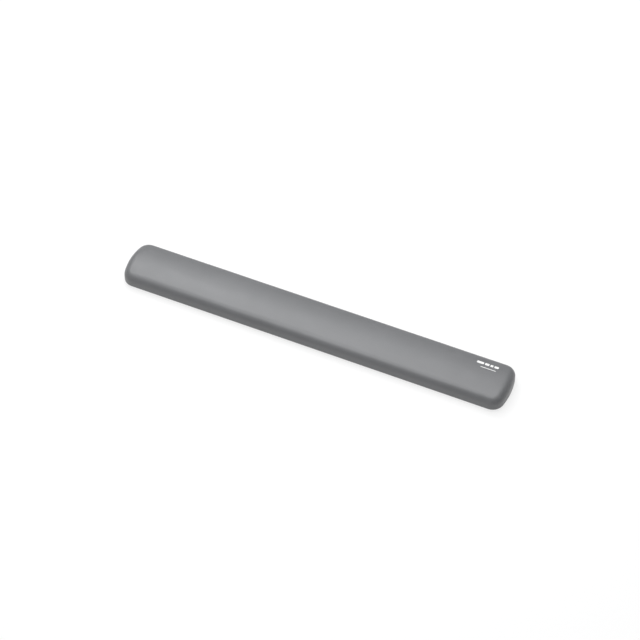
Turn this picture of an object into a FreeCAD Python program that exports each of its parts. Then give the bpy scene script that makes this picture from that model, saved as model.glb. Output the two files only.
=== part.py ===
"""A keyboard wrist rest: a long soft bar in one moulded cover, on a rubber base that grips the desk.

Millimetres. X runs along the bar, Y from the user's side (-Y) to the keyboard's side (+Y), Z up.
The origin is on the desk, under the middle of the bar.

Every layer follows one plan outline: two straight long sides, two bowed ends and four round corners.
A layer is that outline drawn in by an inset, so neighbouring layers meet face to face.
"""

import FreeCAD
import Part
import math
import os

# Overall size
LENGTH = 460.0
WIDTH = 58.0
HEIGHT = 20.0

# Plan outline of the cover
END_R = 92.0
CORNER_R = 14.0

# Section of the cover
CROWN_R = 112.0
SHOULDER_R = 8.5
HEM_EDGE_R = 2.0
SKIN_T = 0.8
HEM_WIDTH = 12.0

# Layers, from the desk upwards
BASE_T = 1.5
BASE_INSET = 4.5
BASE_BOND_T = 0.2
BASE_BOND_SETBACK = 0.4
HEM_GAP = 0.3
BOARD_T = 1.5
CORE_BOND_T = 0.2
SUPPORT_FOAM_T = 5.0

# Grip pattern moulded into the underside of the base
BASE_EDGE_R = 0.5
CELL_PITCH = 7.0
CELL_RIB = 1.2
CELL_DEPTH = 0.5
CELL_MARGIN = 3.0
PANEL_LENGTH = 62.0
PANEL_WIDTH = 20.0

# Mark printed on the crown, near the +X end on the keyboard's side: a broken bar above a thin line
MARK_T = 0.1
DASH_X = 184.4
DASH_Y = 15.6
DASH_LENGTHS = (8.0, 5.0, 3.4, 5.0)
DASH_WIDTH = 3.2
DASH_GAP = 1.2
DASH_CORNER_R = 0.9
LINE_X = 190.4
LINE_Y = 9.9
LINE_LENGTH = 17.6
LINE_WIDTH = 0.8
LINE_CORNER_R = 0.35

# How far a cutting shape runs past what it cuts, and how closely a place is compared
SPARE = 1.0
TOLERANCE = 0.01

# Heights worked out from the layers
HEM_Z = BASE_T + BASE_BOND_T
BOARD_Z = HEM_Z + SKIN_T
CORE_BOND_Z = BOARD_Z + BOARD_T
SUPPORT_Z = CORE_BOND_Z + CORE_BOND_T
COMFORT_Z = SUPPORT_Z + SUPPORT_FOAM_T

MM3_PER_CM3 = 1000.0
UP = FreeCAD.Vector(0, 0, 1)
ALONG = FreeCAD.Vector(1, 0, 0)


def outline(inset, z):
    """The plan outline as a closed wire at height z, drawn in by inset all round."""
    half_width = WIDTH / 2 - inset
    corner_r = CORNER_R - inset
    end_r = END_R - inset
    end_centre_x = LENGTH / 2 - END_R
    corner_y = WIDTH / 2 - CORNER_R
    reach = END_R - CORNER_R
    corner_x = end_centre_x + math.sqrt(reach**2 - corner_y**2)
    lean = math.atan2(corner_y, corner_x - end_centre_x)
    touch_x = end_centre_x + end_r * math.cos(lean)
    touch_y = end_r * math.sin(lean)
    middle = (lean + math.pi / 2) / 2
    mid_x = corner_x + corner_r * math.cos(middle)
    mid_y = corner_y + corner_r * math.sin(middle)
    tip_x = end_centre_x + end_r

    def at(x, y):
        return FreeCAD.Vector(x, y, z)

    edges = [
        Part.Arc(at(touch_x, -touch_y), at(tip_x, 0), at(touch_x, touch_y)),
        Part.Arc(at(touch_x, touch_y), at(mid_x, mid_y), at(corner_x, half_width)),
        Part.LineSegment(at(corner_x, half_width), at(-corner_x, half_width)),
        Part.Arc(at(-corner_x, half_width), at(-mid_x, mid_y), at(-touch_x, touch_y)),
        Part.Arc(at(-touch_x, touch_y), at(-tip_x, 0), at(-touch_x, -touch_y)),
        Part.Arc(at(-touch_x, -touch_y), at(-mid_x, -mid_y), at(-corner_x, -half_width)),
        Part.LineSegment(at(-corner_x, -half_width), at(corner_x, -half_width)),
        Part.Arc(at(corner_x, -half_width), at(mid_x, -mid_y), at(touch_x, -touch_y)),
    ]
    return Part.Wire([edge.toShape() for edge in edges])


def slab(inset, z_low, z_high):
    """A flat layer between two heights."""
    return Part.Face(outline(inset, z_low)).extrude(UP * (z_high - z_low))


def crown(radius):
    """A long cylinder whose top is the crown of the bar, all at one distance from the cover's crown."""
    start = FreeCAD.Vector(-LENGTH, 0, HEIGHT - CROWN_R)
    return Part.makeCylinder(radius, 2 * LENGTH, start, ALONG)


def edges_at_height(shape, z):
    """The edges that lie in the horizontal plane at height z."""
    return [e for e in shape.Edges if max(abs(e.BoundBox.ZMin - z), abs(e.BoundBox.ZMax - z)) < TOLERANCE]


def crown_edges(shape, z_low):
    """The edges round the crown: those that neither stand on the foot nor lie in it."""
    return [e for e in shape.Edges if e.BoundBox.ZMin > z_low + SPARE]


def bar(inset, z_low):
    """The solid bar at a distance inside the cover's outer face, from a flat foot at z_low."""
    block = slab(inset, z_low, HEIGHT + SPARE).common(crown(CROWN_R - inset))
    block = block.makeFillet(SHOULDER_R - inset, crown_edges(block, z_low))
    return block.makeFillet(HEM_EDGE_R - inset, edges_at_height(block, z_low))


def layer(body, z_low, z_high):
    """The part of a body between two heights."""
    box = Part.makeBox(
        2 * LENGTH, 2 * WIDTH, z_high - z_low, FreeCAD.Vector(-LENGTH, -WIDTH, z_low)
    )
    return body.common(box)


def top_cover(core):
    """One moulded skin: crown, walls and a hem that turns in under the board."""
    skin = bar(0.0, HEM_Z).cut(core)
    return skin.cut(slab(HEM_WIDTH, HEM_Z - SPARE, BOARD_Z + TOLERANCE))


def upright_edges(shape):
    """The edges that stand on the shape's foot, as a block's four corners do."""
    return [e for e in shape.Edges if e.BoundBox.ZLength > SPARE]


def rounded_bar(x, y, length, width, corner_r):
    """A tall block with round corners, from x to x + length, centred on y."""
    block = Part.makeBox(length, width, HEIGHT, FreeCAD.Vector(x, y - width / 2, HEIGHT / 2))
    return block.makeFillet(corner_r, upright_edges(block))


def printed_mark():
    """A broken bar above a thin line, printed as a thin film that follows the crown."""
    bars = [rounded_bar(LINE_X, LINE_Y, LINE_LENGTH, LINE_WIDTH, LINE_CORNER_R)]
    x = DASH_X
    for length in DASH_LENGTHS:
        bars.append(rounded_bar(x, DASH_Y, length, DASH_WIDTH, DASH_CORNER_R))
        x += length + DASH_GAP
    film = crown(CROWN_R + MARK_T).cut(crown(CROWN_R))
    return Part.makeCompound(bars).common(film)


def hexagon(x, y, z, across):
    """A closed hexagon wire with two sides along X."""
    r = across / math.sqrt(3)
    angles = [corner * math.pi / 3 for corner in range(7)]
    return Part.makePolygon([FreeCAD.Vector(x + r * math.cos(a), y + r * math.sin(a), z) for a in angles])


def grip_cells():
    """Centres of the grip pattern's cells: a honeycomb kept off the rim and off the plain middle panel."""
    field = Part.Face(outline(BASE_INSET + CELL_MARGIN + CELL_PITCH / 2, 0))
    column_step = CELL_PITCH * math.sqrt(3) / 2
    columns = int(LENGTH / 2 / column_step)
    rows = int(WIDTH / 2 / CELL_PITCH) + 1
    centres = []
    for column in range(-columns, columns + 1):
        for row in range(-rows, rows + 1):
            x = column * column_step
            y = (row + (column % 2) / 2) * CELL_PITCH
            on_panel = (
                abs(x) < (PANEL_LENGTH + CELL_PITCH) / 2 and abs(y) < (PANEL_WIDTH + CELL_PITCH) / 2
            )
            if not on_panel and field.isInside(FreeCAD.Vector(x, y, 0), TOLERANCE, True):
                centres.append((x, y))
    return centres


def non_slip_base():
    """A rubber sheet with a rounded lower rim and a honeycomb of shallow cells in its underside."""
    sheet = slab(BASE_INSET, 0.0, BASE_T)
    sheet = sheet.makeFillet(BASE_EDGE_R, edges_at_height(sheet, 0.0))
    cells = [
        Part.Face(hexagon(x, y, 0.0, CELL_PITCH - CELL_RIB)).extrude(UP * CELL_DEPTH)
        for x, y in grip_cells()
    ]
    return sheet.cut(Part.makeCompound(cells))


def base_bond():
    """The adhesive layer on the base. A raised middle fills the window inside the cover's hem."""
    film = slab(BASE_INSET + BASE_BOND_SETBACK, BASE_T, HEM_Z)
    window = slab(HEM_WIDTH + HEM_GAP, HEM_Z, BOARD_Z)
    return film.fuse(window).removeSplitter()


def build():
    """Every sub-part by its node name."""
    core = bar(SKIN_T, BOARD_Z)
    return {
        "top_cover": top_cover(core),
        "comfort_foam": layer(core, COMFORT_Z, HEIGHT),
        "support_foam": layer(core, SUPPORT_Z, COMFORT_Z),
        "core_bond": layer(core, CORE_BOND_Z, SUPPORT_Z),
        "stiffener_board": layer(core, BOARD_Z, CORE_BOND_Z),
        "base_bond": base_bond(),
        "non_slip_base": non_slip_base(),
        "printed_mark": printed_mark(),
    }


def main():
    os.makedirs("parts", exist_ok=True)
    for name, shape in build().items():
        shape.exportStep(os.path.join("parts", name + ".step"))
        volume = shape.Volume / MM3_PER_CM3
        print(f"{name}: {len(shape.Solids)} solid(s), {volume:.2f} cm3, valid {shape.isValid()}")


main()
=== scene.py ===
"""A keyboard wrist rest in soft-touch skin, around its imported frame. Metres, in the frame's own axes."""

import math

import bmesh
import bpy
import numpy as np
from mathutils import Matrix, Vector
from mathutils.bvhtree import BVHTree


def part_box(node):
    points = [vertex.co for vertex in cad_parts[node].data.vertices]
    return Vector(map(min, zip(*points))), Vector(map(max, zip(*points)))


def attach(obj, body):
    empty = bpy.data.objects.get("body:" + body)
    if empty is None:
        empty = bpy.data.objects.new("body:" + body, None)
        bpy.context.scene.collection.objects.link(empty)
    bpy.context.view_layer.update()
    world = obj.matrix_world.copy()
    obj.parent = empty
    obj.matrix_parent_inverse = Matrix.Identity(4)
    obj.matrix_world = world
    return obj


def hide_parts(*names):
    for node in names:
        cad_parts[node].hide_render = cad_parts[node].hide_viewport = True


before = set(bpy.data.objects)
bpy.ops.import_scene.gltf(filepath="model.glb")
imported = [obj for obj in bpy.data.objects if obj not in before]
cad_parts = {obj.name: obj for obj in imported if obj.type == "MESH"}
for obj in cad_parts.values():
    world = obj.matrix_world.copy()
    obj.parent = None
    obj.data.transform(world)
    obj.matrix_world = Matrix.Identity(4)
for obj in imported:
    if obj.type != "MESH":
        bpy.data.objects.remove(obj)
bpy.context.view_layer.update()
COVER_LOW, COVER_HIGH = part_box("top_cover")

# The cover's form. Its length, width and heights come from the frame.
LENGTH = COVER_HIGH.x - COVER_LOW.x
WIDTH = COVER_HIGH.y - COVER_LOW.y
CROWN_TOP = COVER_HIGH.z
HEM_Z = COVER_LOW.z
END_R = 0.092
CORNER_R = 0.014
CROWN_R = 0.112
SHOULDER_R = 0.0085
HEM_EDGE_R = 0.002
HEM_WIDTH = 0.012
SKIN_T = 0.0006

# The centres of the plan outline's arcs, and the angle at which an end's arc meets a corner's
END_CENTRE = LENGTH / 2 - END_R
CORNER_Y = WIDTH / 2 - CORNER_R
CORNER_X = END_CENTRE + math.sqrt((END_R - CORNER_R) ** 2 - CORNER_Y**2)
LEAN = math.atan2(CORNER_Y, CORNER_X - END_CENTRE)

# How finely the cover is meshed before its subdivision, and how much its steps shorten towards a corner
COLUMNS = 160
ROWS = 26
SHOULDER_STEPS = 8
WALL_STEPS = 3
HEM_EDGE_STEPS = 4
GATHERED_STEPS = 5
HEM_STEPS = 2
CROWDING = 0.42

# How the cover is blown out against its foam: its start, its greatest rise, and the cloth it is made of
START_INSIDE = 0.0001
RISE_LIMIT = 0.0002
PRESSURE = 4.0
CLOTH_QUALITY = 6
CLOTH_MASS = 0.3
STRETCH_STIFFNESS = 40.0
SHEAR_STIFFNESS = 20.0
BENDING_STIFFNESS = 2.0
LAST_FRAME = 20
SMOOTHING_ROUNDS = 6

# The foam's slight unevenness under the skin, as (height, length along X, length along Y)
SWELLS = ((0.00004, 0.083, 0.071), (0.00002, 0.047, 0.039))
SWELL_PHASE = 1.0

# The gathers of the turned hem, outside the rubber base, a quarter of them at each corner
GATHER_DEPTH = 0.0003
GATHER_START = 0.001
GATHER_END = 0.0045
GATHERS = 20
GATHER_FADE = 1.5

# The printed mark: how far it stands above the skin and reaches below it, the corner radius of a bar as a
# share of its width, how finely it is meshed, and how much and how sharply it thins at its edge
PRINT_T = 0.00008
PRINT_SUNK = 0.00004
PRINT_CORNER = 0.28
PRINT_STEP = 0.0004
PRINT_ROWS = 10
PRINT_COLUMNS = 6
PRINT_EDGE_DIP = 0.7
PRINT_EDGE_POWER = 12

# How close two vertices are when they count as one
SAME_PLACE = 1e-7

# Colours
SKIN_COLOUR = (0.1445, 0.1470, 0.1520)
INK_COLOUR = (0.86, 0.86, 0.85)
COMFORT_FOAM_COLOUR = (0.82, 0.80, 0.72)
SUPPORT_FOAM_COLOUR = (0.20, 0.21, 0.22)
ADHESIVE_COLOUR = (0.78, 0.74, 0.62)
BOARD_COLOUR = (0.12, 0.12, 0.13)
RUBBER_COLOUR = (0.035, 0.035, 0.038)

# The skin's pebbled grain: the size of a pebble, the width of a crease as a share of it, and the depth
GRAIN = 0.0007
CREASE = 0.22
GRAIN_DEPTH = 0.000025
FINE_GRAIN = GRAIN / 3
FINE_GRAIN_DETAIL = 3.0
FINE_GRAIN_SHARE = 0.5

# The skin's gloss and tone: duller, with painted shade, in its creases, and drifting in soft patches
SKIN_ROUGHNESS = 0.34
CREASE_DULLNESS = 0.06
CREASE_PAINTED_SHADE = 0.955
TONE_DRIFT = (-0.02, 0.03)
TONE_PATCH = 0.045
GLOSS_DRIFT = (-0.03, 0.03)
GLOSS_PATCH = 0.006

# The scuffs near the desk: how high they reach, their size, and how much paler and duller they are
SCUFF_HEIGHT = 0.004
SCUFF_SIZE = 0.003
SCUFF_RANGE = (0.5, 0.7)
SCUFF_TONE = 0.12
SCUFF_DULLNESS = 0.15

# The ink, darkened with painted shade over the skin's creases, and thinner in small patches
INK_ROUGHNESS = 0.42
INK_CREASE_PAINTED_SHADE = 0.95
INK_THIN_TONE = 0.94
INK_PATCH = 0.0015
INK_GRAIN_DEPTH = GRAIN_DEPTH / 2

# The foams: the size of a pore, where it ends as a share of a cell, the small pores, and the tones, with
# painted shade in the pores' depths
COMFORT_PORE = 0.0008
SUPPORT_PORE = 0.0005
PORE_EDGES = (0.1, 0.6)
SMALL_PORE = 1 / 2.6
LARGE_PORE_SHARE = 0.65
PORE_DEPTH = 1 / 3
PORE_PAINTED_SHADE = (0.62, 1.03)
FOAM_DRIFT = (0.95, 1.03)
FOAM_PATCH = 0.02
FOAM_ROUGHNESS = 0.9

# The adhesive: the spacing, edges and tone of its bubbles, and the width, length and tones of its streaks
ADHESIVE_ROUGHNESS = 0.22
BUBBLE_PITCH = 0.004
BUBBLE_EDGES = (0.05, 0.14)
BUBBLE_TONE = 0.12
STREAK_WIDTH = 0.006
STREAK_STRETCH = 7.0
STREAK_TONES = (0.9, 1.04)
ADHESIVE_DEPTH = 0.00003

# The board: its stipple, and the faint lines from its extrusion
BOARD_ROUGHNESS = 0.5
STIPPLE_SIZE = 0.0004
DRAW_LINE = 0.0012
DRAW_LINE_STRETCH = 100.0
DRAW_LINE_TONES = (0.9, 1.1)
DRAW_LINE_ROUGHNESSES = (0.44, 0.56)
DRAW_LINE_SHARE = 0.5
BOARD_DEPTH = 0.00004

# The rubber: its fine texture, and the patches of bloom on it
RUBBER_ROUGHNESS = 0.78
RUBBER_TEXTURE = 0.0005
RUBBER_TONES = (0.85, 1.15)
RUBBER_ROUGHNESSES = (0.7, 0.86)
RUBBER_DEPTH = 0.00006
BLOOM_PATCH = 0.018
BLOOM_RANGE = (0.45, 0.75)

# The range that soft noise seldom leaves, and the detail of soft and of fine noise
NOISE_RANGE = (0.3, 0.7)
SOFT_DETAIL = 2.0
FINE_DETAIL = 4.0

# The camera, at its angle to the bar and at its distance
VIEW_AZIMUTH = math.radians(23.985)
VIEW_ELEVATION = math.radians(49.977)
VIEW_DISTANCE = 2.3442
VIEW_LENS = 118.5
VIEW_AIM = Vector((-0.00135, 0.01414, 0.0))

# The studio
SOFTBOX_COLOUR = (0.993, 1.0, 1.007)
MAIN_PLACE = Vector((-0.20, 0.22, 1.5))
MAIN_SIZE = (1.52, 1.85)
MAIN_POWER = 30.0
BACK_PLACE = Vector((-0.7, 0.7, 1.3))
BACK_SIZE = (0.3, 0.2)
BACK_POWER = 4.0

# How bright the room is on average, and how much brighter than that it is on its -X side
ROOM_LIGHT = 0.313
ROOM_SLOPE = 0.153

# The floor
FLOOR_SIZE = 12.0
FLOOR_GREY = 0.20
FLOOR_GLOW = 0.755
FLOOR_ROUGHNESS = 0.9

# How pale the floor looks at its far edge, and so the room behind it
FAR_TONE = 0.84


# ---------------------------------------------------------------- the cover's outline


def side_point(s):
    """The point s metres from the middle of the +Y side, towards +X, and the direction of its normal."""
    if s < CORNER_X:
        return s, WIDTH / 2, math.pi / 2
    angle = math.pi / 2 - (s - CORNER_X) / CORNER_R
    return CORNER_X + CORNER_R * math.cos(angle), CORNER_Y + CORNER_R * math.sin(angle), angle


def end_point(s):
    """The point s metres from the tip of the +X end, towards +Y, and the direction of its normal."""
    if s < END_R * LEAN:
        angle = s / END_R
        return END_CENTRE + END_R * math.cos(angle), END_R * math.sin(angle), angle
    angle = LEAN + (s - END_R * LEAN) / CORNER_R
    return CORNER_X + CORNER_R * math.cos(angle), CORNER_Y + CORNER_R * math.sin(angle), angle


def crowded(half_length, steps):
    """Distances from -half_length to just under half_length, in steps that shorten towards both ends."""
    t = np.linspace(-1, 1, steps + 1)[:-1]
    return half_length * ((1 + CROWDING) * t - CROWDING * t**3)


def outline(inset):
    """Points round the plan outline, drawn in by inset, and their outward normals. They run anticlockwise
    from the middle of the -X -Y corner, COLUMNS steps to a side and ROWS to an end, and border a grid."""
    middle = (LEAN + math.pi / 2) / 2
    half_side = CORNER_X + CORNER_R * (math.pi / 2 - middle)
    half_end = END_R * LEAN + CORNER_R * (middle - LEAN)
    points = []
    for flip in (-1, 1):
        for s in crowded(half_side, COLUMNS):
            x, y, angle = side_point(abs(s))
            sign = -flip * math.copysign(1, s)
            points.append((x * sign, y * flip, math.cos(angle) * sign, math.sin(angle) * flip))
        for s in crowded(half_end, ROWS):
            x, y, angle = end_point(abs(s))
            sign = -flip * math.copysign(1, s)
            points.append((x * -flip, y * sign, math.cos(angle) * -flip, math.sin(angle) * sign))
    points = np.array(points)
    normals = points[:, 2:]
    return points[:, :2] - inset * normals, normals


# ---------------------------------------------------------------- the cover's surface


def at_height(ring, z):
    """A ring of plan points, all at the height z or each at its own."""
    return np.column_stack([ring, np.broadcast_to(z, len(ring))])


def shoulder_rings():
    """Rings from the crown's rim to the top of the wall, round the shoulder a rolling ball would leave."""
    plan, normal = outline(SHOULDER_R)
    ball_r = CROWN_R - SHOULDER_R
    centre = at_height(plan, CROWN_TOP - CROWN_R + np.sqrt(ball_r**2 - plan[:, 1] ** 2))
    tilt = plan[:, 1] / ball_r
    up = np.column_stack([np.zeros(len(plan)), tilt, np.sqrt(1 - tilt**2)])
    out = at_height(normal, 0.0)
    turn = np.arccos((up * out).sum(1))[:, None]
    rings = []
    for share in np.linspace(0, 1, SHOULDER_STEPS + 1):
        direction = (np.sin((1 - share) * turn) * up + np.sin(share * turn) * out) / np.sin(turn)
        rings.append(centre + SHOULDER_R * direction)
    return rings


def wall_rings(top):
    """Rings from just under the shoulder's last ring to the foot of the wall."""
    edge, _ = outline(0.0)
    foot = HEM_Z + HEM_EDGE_R
    shares = np.linspace(0, 1, WALL_STEPS + 1)[1:]
    return [at_height(edge, top[:, 2] * (1 - share) + foot * share) for share in shares]


def gathered(inset):
    """How far the hem is gathered down along the outline drawn in by inset: in waves round the corners."""
    _, normal = outline(inset)
    turn = np.arctan2(normal[:, 1], normal[:, 0])
    at_corner = np.abs(np.sin(2 * turn)) ** GATHER_FADE
    waves = (1 - np.cos(GATHERS * turn)) / 2
    share = np.clip((inset - GATHER_START) / (GATHER_END - GATHER_START), 0, 1)
    return GATHER_DEPTH * math.sin(math.pi * share) ** 2 * at_corner * waves


def hem_rings():
    """Rings round the hem's edge and in under the board."""
    rings = []
    for angle in np.linspace(0, math.pi / 2, HEM_EDGE_STEPS + 1)[1:]:
        inset = HEM_EDGE_R * (1 - math.cos(angle))
        height = HEM_Z + HEM_EDGE_R * (1 - math.sin(angle))
        rings.append(at_height(outline(inset)[0], height - gathered(inset)))
    insets = np.linspace(HEM_EDGE_R, GATHER_END, GATHERED_STEPS + 1)[1:]
    insets = np.append(insets, np.linspace(GATHER_END, HEM_WIDTH, HEM_STEPS + 1)[1:])
    for inset in insets:
        rings.append(at_height(outline(inset)[0], HEM_Z - gathered(inset)))
    return rings


def crown_grid(rim):
    """A grid that fills the crown's rim, blended between its four sides, at the crown's own heights."""
    front = rim[: COLUMNS + 1]
    right = rim[COLUMNS : COLUMNS + ROWS + 1]
    back = rim[COLUMNS + ROWS : 2 * COLUMNS + ROWS + 1][::-1]
    left = np.vstack([rim[2 * COLUMNS + ROWS :], rim[:1]])[::-1]
    u = np.append((1 + crowded(1, COLUMNS)) / 2, 1)[:, None, None]
    v = np.append((1 + crowded(1, ROWS)) / 2, 1)[None, :, None]
    ruled = (1 - v) * front[:, None] + v * back[:, None] + (1 - u) * left[None] + u * right[None]
    corners = (1 - v) * ((1 - u) * front[0] + u * front[-1]) + v * ((1 - u) * back[0] + u * back[-1])
    plan = (ruled - corners)[:, :, :2]
    height = CROWN_TOP - CROWN_R + np.sqrt(CROWN_R**2 - plan[:, :, 1] ** 2)
    return np.dstack([plan, height])


def grid_quads(number):
    """The quads of a grid of vertex numbers."""
    corners = [number[:-1, :-1], number[1:, :-1], number[1:, 1:], number[:-1, 1:]]
    return np.stack(corners, -1).reshape(-1, len(corners))


def grid_rim(number):
    """The vertex numbers round the rim of a grid, anticlockwise."""
    return np.concatenate([number[:-1, 0], number[-1, :-1], number[:0:-1, -1], number[0, :0:-1]])


def cover_mesh():
    """The cover's outer face: a grid for the crown, then rings down to the hem's inner edge.
    Returns its vertices, its quads and, for each ring, the numbers of its vertices."""
    rings = shoulder_rings()
    rings += wall_rings(rings[-1]) + hem_rings()
    grid = crown_grid(rings[0])
    number = np.arange((COLUMNS + 1) * (ROWS + 1)).reshape(COLUMNS + 1, ROWS + 1)
    quads = [grid_quads(number)]
    upper = grid_rim(number)
    ring_numbers = [upper]
    for step in range(1, len(rings)):
        lower = number.size + np.arange(len(upper)) + (step - 1) * len(upper)
        quads.append(np.stack([upper, lower, np.roll(lower, -1), np.roll(upper, -1)], -1))
        ring_numbers.append(lower)
        upper = lower
    return np.vstack([grid.reshape(-1, 3)] + rings[1:]), np.vstack(quads), ring_numbers


def new_piece(name, vertices, faces):
    """A smooth mesh object in the scene, made from arrays."""
    mesh = bpy.data.meshes.new(name)
    mesh.from_pydata(vertices.tolist(), [], faces.tolist())
    mesh.validate()
    mesh.shade_smooth()
    piece = bpy.data.objects.new(name, mesh)
    bpy.context.scene.collection.objects.link(piece)
    return piece


def apply_modifiers(piece):
    """Fixes the piece's modifiers into its mesh, and takes them off."""
    depsgraph = bpy.context.evaluated_depsgraph_get()
    mesh = bpy.data.meshes.new_from_object(piece.evaluated_get(depsgraph))
    piece.modifiers.clear()
    piece.data = mesh


def vertex_array(mesh, what="co"):
    """The places or normals of a mesh's vertices."""
    values = np.empty(len(mesh.vertices) * 3)
    mesh.vertices.foreach_get(what, values)
    return values.reshape(-1, 3)


# ---------------------------------------------------------------- the cover, blown out against its foam


def slackness(count, ring_numbers):
    """How free each vertex is: 1 on the crown and shoulder, 0 on the hem, and between them on the wall."""
    free = np.ones(count)
    for step, numbers in enumerate(ring_numbers):
        free[numbers] = np.clip((SHOULDER_STEPS + WALL_STEPS - step) / WALL_STEPS, 0, 1)
    return free


def blow_out(piece, free):
    """Runs the cloth under pressure, with the hem held, and returns where it takes each vertex."""
    group = piece.vertex_groups.new(name="held")
    for number, share in enumerate(free):
        group.add([number], 1.0 - share, "REPLACE")
    cloth = piece.modifiers.new("cloth", "CLOTH")
    settings = cloth.settings
    settings.quality = CLOTH_QUALITY
    settings.mass = CLOTH_MASS
    settings.tension_stiffness = STRETCH_STIFFNESS
    settings.compression_stiffness = STRETCH_STIFFNESS
    settings.shear_stiffness = SHEAR_STIFFNESS
    settings.bending_stiffness = BENDING_STIFFNESS
    settings.vertex_group_mass = group.name
    settings.use_pressure = True
    settings.uniform_pressure_force = PRESSURE
    settings.effector_weights.gravity = 0
    cloth.collision_settings.use_collision = False
    cloth.point_cache.frame_start = 1
    cloth.point_cache.frame_end = LAST_FRAME
    scene = bpy.context.scene
    for step in range(1, LAST_FRAME + 1):
        scene.frame_set(step)
    depsgraph = bpy.context.evaluated_depsgraph_get()
    moved = vertex_array(piece.evaluated_get(depsgraph).data)
    piece.modifiers.clear()
    piece.vertex_groups.clear()
    scene.frame_set(1)
    return moved


def smoothed(values, mesh, rounds):
    """The values, each averaged with its neighbours' along the mesh's edges."""
    edges = np.empty(len(mesh.edges) * 2, int)
    mesh.edges.foreach_get("vertices", edges)
    a, b = edges.reshape(-1, 2).T
    count = np.bincount(edges, minlength=len(values))[:, None]
    for _ in range(rounds):
        total = np.zeros_like(values)
        np.add.at(total, a, values[b])
        np.add.at(total, b, values[a])
        values = (values + total / count) / 2
    return values


def swells(place):
    """The unevenness of the foam at each place."""
    height = np.zeros(len(place))
    for tall, along, across in SWELLS:
        ridges = np.sin(math.tau * place[:, 0] / along + SWELL_PHASE)
        height += tall * ridges * np.cos(math.tau * place[:, 1] / across)
    return height


def make_cover():
    """The cover starts a little small, is blown out against its foam, and gets its thickness."""
    vertices, quads, ring_numbers = cover_mesh()
    cover = new_piece("cover_skin", vertices, quads)
    free = slackness(len(vertices), ring_numbers)
    normal = vertex_array(cover.data, "normal")
    start = vertices - START_INSIDE * free[:, None] * normal
    cover.data.vertices.foreach_set("co", start.ravel())
    rise = RISE_LIMIT * free
    rise = np.clip(((blow_out(cover, free) - start) * normal).sum(1), 0, RISE_LIMIT)
    rise = smoothed(rise[:, None], cover.data, SMOOTHING_ROUNDS) + (free * swells(vertices))[:, None]
    cover.data.vertices.foreach_set("co", (start + rise * normal).ravel())
    subdivision = cover.modifiers.new("subdivision", "SUBSURF")
    subdivision.levels = 1
    subdivision.render_levels = 1
    skin = cover.modifiers.new("skin", "SOLIDIFY")
    skin.thickness = SKIN_T
    skin.offset = -1
    apply_modifiers(cover)
    return cover


# ---------------------------------------------------------------- the printed mark


def islands(mesh):
    """The lowest and highest corner of each separate solid in a mesh."""
    form = bmesh.new()
    form.from_mesh(mesh)
    bmesh.ops.remove_doubles(form, verts=form.verts, dist=SAME_PLACE)
    seen = set()
    boxes = []
    for first in form.verts:
        if first in seen:
            continue
        seen.add(first)
        group = [first]
        for vertex in group:
            others = [edge.other_vert(vertex) for edge in vertex.link_edges]
            fresh = [other for other in others if other not in seen]
            seen.update(fresh)
            group.extend(fresh)
        places = np.array([vertex.co for vertex in group])
        boxes.append((places.min(0), places.max(0)))
    form.free()
    return boxes


def bar_plan(low, high):
    """A grid of plan points over a round-cornered bar, and how near each is to its edge, from 0 to 1."""
    half_x, half_y = (high - low)[:2] / 2
    corner_r = PRINT_CORNER * 2 * half_y
    columns = max(int(2 * half_x / PRINT_STEP), PRINT_COLUMNS)
    u = np.linspace(-1, 1, columns + 1)[:, None]
    v = np.sin(np.linspace(-math.pi / 2, math.pi / 2, PRINT_ROWS + 1))[None, :]
    into_corner = np.clip(np.abs(v) * half_y - (half_y - corner_r), 0, corner_r)
    x = u * (half_x - corner_r + np.sqrt(corner_r**2 - into_corner**2))
    y = np.broadcast_to(v * half_y, x.shape)
    plan = np.dstack([x, y]) + (high + low)[:2] / 2
    return plan, np.maximum(np.abs(u), np.abs(v))


def height_of(ground, x, y):
    """How high the ground is under a plan point."""
    hit = ground.ray_cast(Vector((x, y, 2 * CROWN_TOP)), Vector((0, 0, -1)))
    return hit[0].z


def printed_bar(low, high, ground):
    """One bar of the print as a closed film, which stands on the skin and thins towards its edge."""
    plan, nearness = bar_plan(low, high)
    skin_z = np.array([[height_of(ground, x, y) for x, y in row] for row in plan])
    film = PRINT_T * (1 - PRINT_EDGE_DIP * nearness**PRINT_EDGE_POWER)
    top = np.dstack([plan, skin_z + film])
    bottom = np.dstack([plan, skin_z - PRINT_SUNK])
    count = skin_z.size
    number = np.arange(count).reshape(skin_z.shape)
    quads = grid_quads(number)
    rim = grid_rim(number)
    sides = np.stack([rim, rim + count, np.roll(rim, -1) + count, np.roll(rim, -1)], -1)
    faces = np.vstack([quads, quads[:, ::-1] + count, sides])
    return np.vstack([top.reshape(-1, 3), bottom.reshape(-1, 3)]), faces


def make_mark(cover):
    """The printed mark: a bar for each solid of its node, laid on the cover."""
    ground = BVHTree.FromObject(cover, bpy.context.evaluated_depsgraph_get())
    vertices = []
    faces = []
    count = 0
    for low, high in islands(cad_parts["printed_mark"].data):
        places, quads = printed_bar(low, high, ground)
        vertices.append(places)
        faces.append(quads + count)
        count += len(places)
    return new_piece("mark_print", np.vstack(vertices), np.vstack(faces))


# ---------------------------------------------------------------- materials


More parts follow.
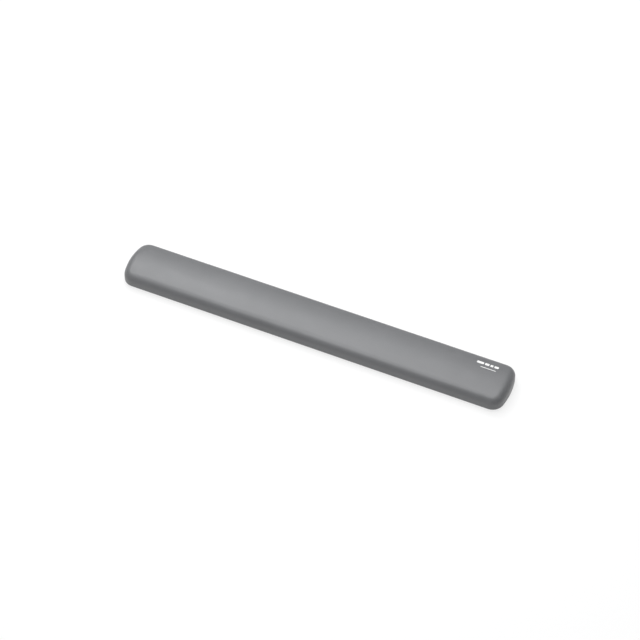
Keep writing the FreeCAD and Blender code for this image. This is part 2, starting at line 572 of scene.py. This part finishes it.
class Paint:
    """A material made of shader nodes, with its patterns laid out on the object in metres."""

    def __init__(self, name, colour, roughness):
        self.material = bpy.data.materials.new(name)
        self.material.use_nodes = True
        self.tree = self.material.node_tree
        self.colour = colour
        self.shader = self.tree.nodes["Principled BSDF"].inputs
        self.shader["Base Color"].default_value = (*colour, 1)
        self.shader["Roughness"].default_value = roughness
        self.place = self.add("TexCoord").outputs["Object"]

    def feed(self, socket, value):
        """Links a socket to another, or sets it to a number."""
        if isinstance(value, bpy.types.NodeSocket):
            self.tree.links.new(value, socket)
        else:
            socket.default_value = value

    def add(self, kind, inputs=None, **settings):
        """A new node with its inputs and settings."""
        node = self.tree.nodes.new("ShaderNode" + kind)
        for name, value in settings.items():
            setattr(node, name, value)
        for name, value in (inputs or {}).items():
            self.feed(node.inputs[name], value)
        return node

    def plus(self, a, b):
        return self.add("Math", {0: a, 1: b}, operation="ADD").outputs[0]

    def times(self, a, b):
        return self.add("Math", {0: a, 1: b}, operation="MULTIPLY").outputs[0]

    def spread(self, value, low, high, over=(0.0, 1.0)):
        """The value, carried smoothly from the range over to the range low to high."""
        inputs = {"Value": value, "From Min": over[0], "From Max": over[1], "To Min": low, "To Max": high}
        return self.add("MapRange", inputs, interpolation_type="SMOOTHSTEP").outputs["Result"]

    def noise(self, size, detail=SOFT_DETAIL, drawn=1.0):
        """Soft noise with features about size metres across, drawn out along the bar drawn times."""
        place = self.add("Mapping", {"Vector": self.place, "Scale": (1 / drawn, 1, 1)}).outputs["Vector"]
        return self.add("TexNoise", {"Vector": place, "Scale": 1 / size, "Detail": detail}).outputs["Fac"]

    def vary(self, low, high, size, detail=SOFT_DETAIL, over=NOISE_RANGE):
        """A value that wanders between low and high, with features about size metres across."""
        return self.spread(self.noise(size, detail), low, high, over)

    def cells(self, size, feature):
        """Distance in a field of cells about size metres across, as a share of a cell."""
        inputs = {"Vector": self.place, "Scale": 1 / size}
        return self.add("TexVoronoi", inputs, feature=feature).outputs["Distance"]

    def pebbles(self):
        """The skin's grain: 1 on the pebbles, 0 in the creases between them."""
        return self.spread(self.cells(GRAIN, "DISTANCE_TO_EDGE"), 0.0, 1.0, over=(0.0, CREASE))

    def pores(self, size):
        """Round pores: 0 in their depths, 1 on the walls between them."""
        return self.spread(self.cells(size, "F1"), 0.0, 1.0, over=PORE_EDGES)

    def shade(self, tone):
        """Makes the colour darker or lighter by a tone that varies."""
        node = self.add("VectorMath", {0: self.colour, "Scale": tone}, operation="SCALE")
        self.feed(self.shader["Base Color"], node.outputs[0])

    def roughen(self, roughness):
        self.feed(self.shader["Roughness"], roughness)

    def emboss(self, height, depth):
        """Gives a relief, depth metres deep where height goes from 0 to 1."""
        node = self.add("Bump", {"Height": height, "Distance": depth})
        self.feed(self.shader["Normal"], node.outputs["Normal"])


def skin_material():
    """Soft-touch polyurethane: pebbled, duller in its creases and darkened there with painted shade, and
    scuffed near the desk.
    """
    paint = Paint("soft_touch_skin", SKIN_COLOUR, SKIN_ROUGHNESS)
    pebbles = paint.pebbles()
    height = paint.add("SeparateXYZ", {"Vector": paint.place}).outputs["Z"]
    near_desk = paint.spread(height, 1.0, 0.0, over=(HEM_Z, HEM_Z + SCUFF_HEIGHT))
    scuffs = paint.times(near_desk, paint.vary(0.0, 1.0, SCUFF_SIZE, FINE_DETAIL, over=SCUFF_RANGE))
    # Painted shade: the colour is darker in the grain's creases.
    tone = paint.plus(paint.spread(pebbles, CREASE_PAINTED_SHADE, 1.0), paint.vary(*TONE_DRIFT, TONE_PATCH))
    paint.shade(paint.plus(tone, paint.times(scuffs, SCUFF_TONE)))
    roughness = paint.spread(pebbles, SKIN_ROUGHNESS + CREASE_DULLNESS, SKIN_ROUGHNESS)
    roughness = paint.plus(roughness, paint.vary(*GLOSS_DRIFT, GLOSS_PATCH))
    paint.roughen(paint.plus(roughness, paint.times(scuffs, SCUFF_DULLNESS)))
    fine_grain = paint.times(paint.noise(FINE_GRAIN, FINE_GRAIN_DETAIL), FINE_GRAIN_SHARE)
    paint.emboss(paint.plus(pebbles, fine_grain), GRAIN_DEPTH)
    return paint.material


def ink_material():
    """White transfer print: the skin's grain shows through it, with painted shade in the creases, and it
    is a little thin here and there.
    """
    paint = Paint("transfer_print", INK_COLOUR, INK_ROUGHNESS)
    pebbles = paint.pebbles()
    thin_patches = paint.vary(INK_THIN_TONE, 1.0, INK_PATCH)
    # Painted shade: the ink is darker over the grain's creases.
    paint.shade(paint.times(paint.spread(pebbles, INK_CREASE_PAINTED_SHADE, 1.0), thin_patches))
    paint.emboss(pebbles, INK_GRAIN_DEPTH)
    return paint.material


def foam_material(name, colour, pore):
    """Open-cell foam: round pores of two sizes, with painted shade in their depths."""
    paint = Paint(name, colour, FOAM_ROUGHNESS)
    large = paint.times(paint.pores(pore), LARGE_PORE_SHARE)
    small = paint.times(paint.pores(pore * SMALL_PORE), 1 - LARGE_PORE_SHARE)
    height = paint.plus(large, small)
    # Painted shade: the colour is darker in the pores' depths.
    paint.shade(paint.times(paint.spread(height, *PORE_PAINTED_SHADE), paint.vary(*FOAM_DRIFT, FOAM_PATCH)))
    paint.emboss(height, pore * PORE_DEPTH)
    return paint.material


def adhesive_material():
    """Adhesive film: an amber sheet with faint streaks along the bar and small bubbles."""
    paint = Paint("adhesive_film", ADHESIVE_COLOUR, ADHESIVE_ROUGHNESS)
    bubbles = paint.spread(paint.cells(BUBBLE_PITCH, "F1"), 1.0, 0.0, over=BUBBLE_EDGES)
    streaks = paint.noise(STREAK_WIDTH, drawn=STREAK_STRETCH)
    paint.shade(paint.plus(paint.spread(streaks, *STREAK_TONES), paint.times(bubbles, BUBBLE_TONE)))
    paint.emboss(paint.plus(bubbles, streaks), ADHESIVE_DEPTH)
    return paint.material


def board_material():
    """Extruded polystyrene sheet: a fine stipple, with faint draw lines along the bar."""
    paint = Paint("polystyrene_sheet", BOARD_COLOUR, BOARD_ROUGHNESS)
    lines = paint.noise(DRAW_LINE, drawn=DRAW_LINE_STRETCH)
    paint.shade(paint.spread(lines, *DRAW_LINE_TONES, over=NOISE_RANGE))
    paint.roughen(paint.spread(lines, *DRAW_LINE_ROUGHNESSES, over=NOISE_RANGE))
    stipple = paint.noise(STIPPLE_SIZE, FINE_DETAIL)
    paint.emboss(paint.plus(stipple, paint.times(lines, DRAW_LINE_SHARE)), BOARD_DEPTH)
    return paint.material


def rubber_material():
    """Moulded non-slip rubber: matt black, finely textured, with a trace of pale bloom in patches."""
    paint = Paint("non_slip_rubber", RUBBER_COLOUR, RUBBER_ROUGHNESS)
    texture = paint.noise(RUBBER_TEXTURE, FINE_DETAIL)
    bloom = paint.times(paint.vary(0.0, 1.0, BLOOM_PATCH, over=BLOOM_RANGE), texture)
    paint.shade(paint.plus(paint.spread(texture, *RUBBER_TONES), bloom))
    paint.roughen(paint.spread(texture, *RUBBER_ROUGHNESSES, over=NOISE_RANGE))
    paint.emboss(texture, RUBBER_DEPTH)
    return paint.material


def dress_nodes():
    """Gives each CAD node that stays its material."""
    adhesive = adhesive_material()
    materials = {
        "comfort_foam": foam_material("slow_recovery_foam", COMFORT_FOAM_COLOUR, COMFORT_PORE),
        "support_foam": foam_material("firm_foam", SUPPORT_FOAM_COLOUR, SUPPORT_PORE),
        "core_bond": adhesive,
        "base_bond": adhesive,
        "stiffener_board": board_material(),
        "non_slip_base": rubber_material(),
    }
    for node, material in materials.items():
        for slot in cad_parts[node].material_slots:
            slot.material = material


# ---------------------------------------------------------------- the studio


def make_floor():
    """A pale floor that also glows a little, like a light table, so the shadow on it stays faint."""
    bpy.ops.mesh.primitive_plane_add(size=FLOOR_SIZE)
    floor = bpy.context.object
    floor.name = "floor"
    paint = Paint("floor", (FLOOR_GREY,) * 3, FLOOR_ROUGHNESS)
    paint.shader["Emission Color"].default_value = (1, 1, 1, 1)
    paint.shader["Emission Strength"].default_value = FLOOR_GLOW
    floor.data.materials.append(paint.material)


def turned_back(direction):
    """The rotation of a light or camera that stands off in a direction and looks back along it."""
    return (-direction).to_track_quat("-Z", "Y")


def make_softbox(name, place, size, power):
    """A rectangular light at its place, turned to the middle of the bar."""
    light = bpy.data.lights.new(name, "AREA")
    light.shape = "RECTANGLE"
    light.size, light.size_y = size
    light.energy = power
    light.color = SOFTBOX_COLOUR
    softbox = bpy.data.objects.new(name, light)
    softbox.location = place
    softbox.rotation_mode = "QUATERNION"
    softbox.rotation_quaternion = turned_back(place)
    bpy.context.scene.collection.objects.link(softbox)


def room_brightness(nodes, links):
    """How bright the room is in each direction: brightest towards -X, and dimmest towards +X."""
    direction = nodes.new("ShaderNodeSeparateXYZ")
    links.new(nodes.new("ShaderNodeTexCoord").outputs["Generated"], direction.inputs["Vector"])
    brightness = nodes.new("ShaderNodeMath")
    brightness.operation = "MULTIPLY_ADD"
    links.new(direction.outputs["X"], brightness.inputs[0])
    brightness.inputs[1].default_value = -ROOM_SLOPE
    brightness.inputs[2].default_value = ROOM_LIGHT
    return brightness.outputs["Value"]


def make_room():
    """Dim light from all round. Where the camera sees past the floor, the room is as pale as the floor."""
    room = bpy.data.worlds.new("room")
    room.use_nodes = True
    nodes = room.node_tree.nodes
    links = room.node_tree.links
    dim = nodes["Background"]
    dim.inputs["Color"].default_value = (1, 1, 1, 1)
    links.new(room_brightness(nodes, links), dim.inputs["Strength"])
    pale = nodes.new("ShaderNodeBackground")
    pale.inputs["Color"].default_value = (1, 1, 1, 1)
    pale.inputs["Strength"].default_value = FAR_TONE
    ray = nodes.new("ShaderNodeLightPath")
    choice = nodes.new("ShaderNodeMixShader")
    links.new(ray.outputs["Is Camera Ray"], choice.inputs["Fac"])
    links.new(dim.outputs[0], choice.inputs[1])
    links.new(pale.outputs[0], choice.inputs[2])
    links.new(choice.outputs[0], nodes["World Output"].inputs["Surface"])
    bpy.context.scene.world = room


def make_camera():
    """The camera, at its angle to the bar, with no shift and no depth of field."""
    camera = bpy.data.objects.new("camera", bpy.data.cameras.new("camera"))
    camera.data.lens = VIEW_LENS
    level = math.cos(VIEW_ELEVATION)
    x = math.sin(VIEW_AZIMUTH) * level
    y = -math.cos(VIEW_AZIMUTH) * level
    back = Vector((x, y, math.sin(VIEW_ELEVATION)))
    camera.location = VIEW_AIM + back * VIEW_DISTANCE
    camera.rotation_mode = "QUATERNION"
    camera.rotation_quaternion = turned_back(back)
    bpy.context.scene.collection.objects.link(camera)
    bpy.context.scene.camera = camera


# ---------------------------------------------------------------- the scene

make_camera()
make_softbox("main_softbox", MAIN_PLACE, MAIN_SIZE, MAIN_POWER)
make_softbox("back_softbox", BACK_PLACE, BACK_SIZE, BACK_POWER)
make_room()
make_floor()
bpy.context.scene.view_settings.view_transform = "Standard"

cover = make_cover()
cover.data.materials.append(skin_material())
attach(cover, "root")
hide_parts("top_cover")

mark = make_mark(cover)
mark.data.materials.append(ink_material())
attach(mark, "root")
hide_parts("printed_mark")

dress_nodes()
